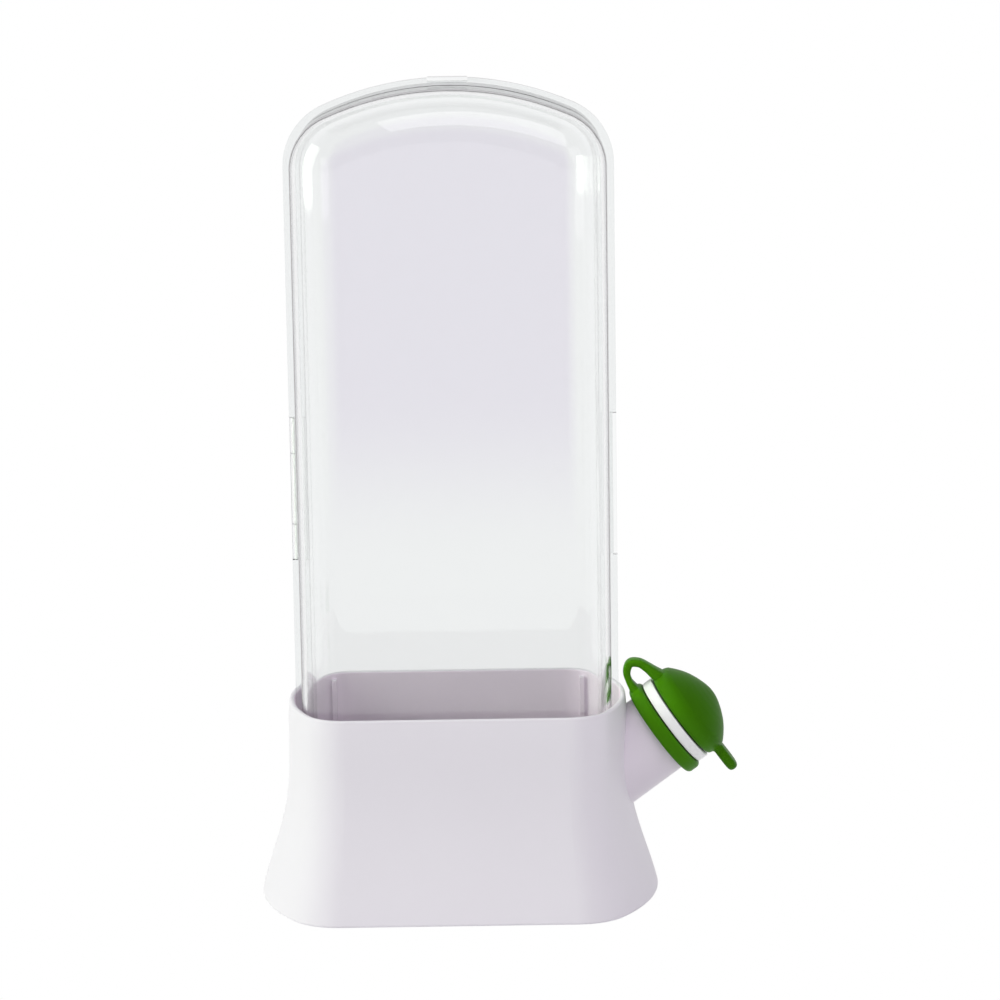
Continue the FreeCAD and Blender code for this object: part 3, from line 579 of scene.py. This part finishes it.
strap_line = smooth_through(STRAP_STATIONS, STRAP_CUTS)
across = Vector((0.0, 1.0, 0.0))
strap_shape = bmesh.new()
rings = []
for index, (along, out, thick, wide) in enumerate(strap_line):
    before = strap_line[max(index - 1, 0)]
    after = strap_line[min(index + 1, len(strap_line) - 1)]
    heading = Vector((-(after[1] - before[1]), 0.0, after[0] - before[0])).normalized()
    face_way = heading.cross(across)
    ring = []
    for step in range(STRAP_AROUND):
        turn = 2 * math.pi * step / STRAP_AROUND
        c, w = math.cos(turn), math.sin(turn)
        flat = math.copysign(abs(c) ** STRAP_SQUARENESS[0], c) * wide
        deep = math.copysign(abs(w) ** STRAP_SQUARENESS[1], w) * thick
        ring.append(strap_shape.verts.new(Vector((-out, 0.0, along)) + across * flat + face_way * deep))
    rings.append(ring)
skin_between(strap_shape, rings)
strap_shape.faces.new(list(reversed(rings[0])))
strap_shape.faces.new(rings[-1])
bmesh.ops.recalc_face_normals(strap_shape, faces=strap_shape.faces)
strap_shape.transform(spout_frame)
strap = finished_piece("stopper_strap_loop", strap_shape, silicone)
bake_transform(strap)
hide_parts("stopper_strap")


# Clear pod
# Two halves injection moulded in clear styrene plastic with polished walls, hinged on the left. The upper
# flat panels are painted a little greyer than the rims, a painted reflection of the room; the skin is
# painted paler where it curves, and the outer skin painted darker towards an edge, standing for the dark
# lines of refraction. Lamps shine through, so the shadow is faint.
POD_RIM_TINT = "#F6F7F7"
POD_PANEL_PAINTED_REFLECTION = "#F0EFF3"
POD_CURVE_PAINTED_LIGHT = "#FBFCFC"
POD_EDGE_PAINTED_SHADE = "#77737C"
POD_SHADOW_TINT = "#FDFDFD"
# Where the painted reflection lies: how flat to the front a face is, how high it is, and how far from the
# flanges in the middle, in metres
PANEL_FLATNESS = (0.93, 0.995)
PANEL_FADE = (0.115, 0.175)
PANEL_DEPTH = 0.02
# How far a face has turned away from the eye, 0 to 1, for the painted pale curves and painted dark edges
POD_CURVE_RANGE = (0.15, 0.4)
POD_EDGE_RANGE = (0.5, 0.85)
STYRENE_IOR = 1.57
STYRENE_ROUGHNESS = 0.02
# The walls of a moulding this long are slightly wavy
WAVE_MM = 45.0
WAVE_HEIGHT_MM = 0.4

clear_styrene, tree, output = new_material("polished_clear_styrene")
surface = add_node(tree, "ShaderNodeTexCoord").outputs
place = add_node(tree, "ShaderNodeSeparateXYZ", links={"Vector": surface["Object"]})
facing = add_node(tree, "ShaderNodeSeparateXYZ", links={"Vector": surface["Normal"]})
flatness = add_node(tree, "ShaderNodeMath", {"operation": "ABSOLUTE"}, links={0: facing.outputs["Y"]})
depth = add_node(tree, "ShaderNodeMath", {"operation": "ABSOLUTE"}, links={0: place.outputs["Y"]})
panel = add_node(
    tree,
    "ShaderNodeMapRange",
    {"interpolation_type": "SMOOTHSTEP"},
    {"From Min": PANEL_FLATNESS[0], "From Max": PANEL_FLATNESS[1]},
    {"Value": flatness.outputs[0]},
)
upper = add_node(
    tree,
    "ShaderNodeMapRange",
    {"interpolation_type": "SMOOTHSTEP"},
    {"From Min": PANEL_FADE[0], "From Max": PANEL_FADE[1]},
    {"Value": place.outputs["Z"]},
)
off_flange = add_node(
    tree, "ShaderNodeMath", {"operation": "GREATER_THAN"}, {1: PANEL_DEPTH}, {0: depth.outputs[0]}
)
upper_panel = add_node(
    tree, "ShaderNodeMath", {"operation": "MULTIPLY"}, links={0: panel.outputs[0], 1: upper.outputs[0]}
)
painted_reflection = add_node(
    tree,
    "ShaderNodeMath",
    {"operation": "MULTIPLY"},
    links={0: upper_panel.outputs[0], 1: off_flange.outputs[0]},
)
grazing = add_node(tree, "ShaderNodeLayerWeight", sockets={"Blend": 0.5})
curve = add_node(
    tree,
    "ShaderNodeMapRange",
    {"interpolation_type": "SMOOTHSTEP"},
    {"From Min": POD_CURVE_RANGE[0], "From Max": POD_CURVE_RANGE[1]},
    {"Value": grazing.outputs["Facing"]},
)
edge = add_node(
    tree,
    "ShaderNodeMapRange",
    {"interpolation_type": "SMOOTHSTEP"},
    {"From Min": POD_EDGE_RANGE[0], "From Max": POD_EDGE_RANGE[1]},
    {"Value": grazing.outputs["Facing"]},
)
outward = add_node(
    tree,
    "ShaderNodeVectorMath",
    {"operation": "DOT_PRODUCT"},
    links={0: surface["Object"], 1: surface["Normal"]},
)
outer_skin = add_node(
    tree, "ShaderNodeMath", {"operation": "GREATER_THAN"}, {1: 0.0}, {0: outward.outputs["Value"]}
)
outer_edge = add_node(
    tree, "ShaderNodeMath", {"operation": "MULTIPLY"}, links={0: edge.outputs[0], 1: outer_skin.outputs[0]}
)
# Painted reflection on the panels over the rims, then painted light on the curves over both, then painted
# shade on the edges over all
tint = add_node(
    tree,
    "ShaderNodeMix",
    {"data_type": "RGBA"},
    {6: srgb(POD_RIM_TINT), 7: srgb(POD_PANEL_PAINTED_REFLECTION)},
    {0: painted_reflection.outputs[0]},
)
for colour, share in ((POD_CURVE_PAINTED_LIGHT, curve), (POD_EDGE_PAINTED_SHADE, outer_edge)):
    tint = add_node(
        tree,
        "ShaderNodeMix",
        {"data_type": "RGBA"},
        {7: srgb(colour)},
        {0: share.outputs[0], 6: tint.outputs[2]},
    )
wave = add_node(
    tree,
    "ShaderNodeTexNoise",
    sockets={"Scale": 1000.0 / WAVE_MM, "Detail": 1.0, "Roughness": 0.4},
    links={"Vector": surface["Object"]},
)
bump = add_node(
    tree,
    "ShaderNodeBump",
    sockets={"Strength": 0.25, "Distance": WAVE_HEIGHT_MM / 1000.0},
    links={"Height": wave.outputs["Fac"]},
)
shader = add_node(
    tree,
    "ShaderNodeBsdfPrincipled",
    sockets={"Roughness": STYRENE_ROUGHNESS, "IOR": STYRENE_IOR, "Transmission Weight": 1.0},
    links={"Base Color": tint.outputs[2], "Normal": bump.outputs["Normal"]},
)
through = add_node(tree, "ShaderNodeBsdfTransparent", sockets={"Color": srgb(POD_SHADOW_TINT)})
ray = add_node(tree, "ShaderNodeLightPath")
walls = add_node(
    tree,
    "ShaderNodeMixShader",
    links={0: ray.outputs["Is Shadow Ray"], 1: shader.outputs[0], 2: through.outputs[0]},
)
tree.links.new(walls.outputs[0], output.inputs["Surface"])
for node in ("pod_front_shell", "pod_rear_shell"):
    dress(node, clear_styrene)


# Hinge pin
# A short pin turned from natural acetal, pushed through the knuckles that join the two halves on the left.
# The turned surface is even and satin, just off white.
PIN_WHITE = "#EDEEEE"
PIN_SHADE = "#E6E8E8"
PIN_ROUGHNESS = 0.3
PIN_GRAIN_MM = 0.8
PIN_GRAIN_HEIGHT_MM = 0.01

acetal, _ = moulded_plastic(
    "turned_natural_acetal", PIN_WHITE, PIN_SHADE, PIN_ROUGHNESS, PIN_GRAIN_MM, PIN_GRAIN_HEIGHT_MM
)
dress("hinge_pin", acetal)
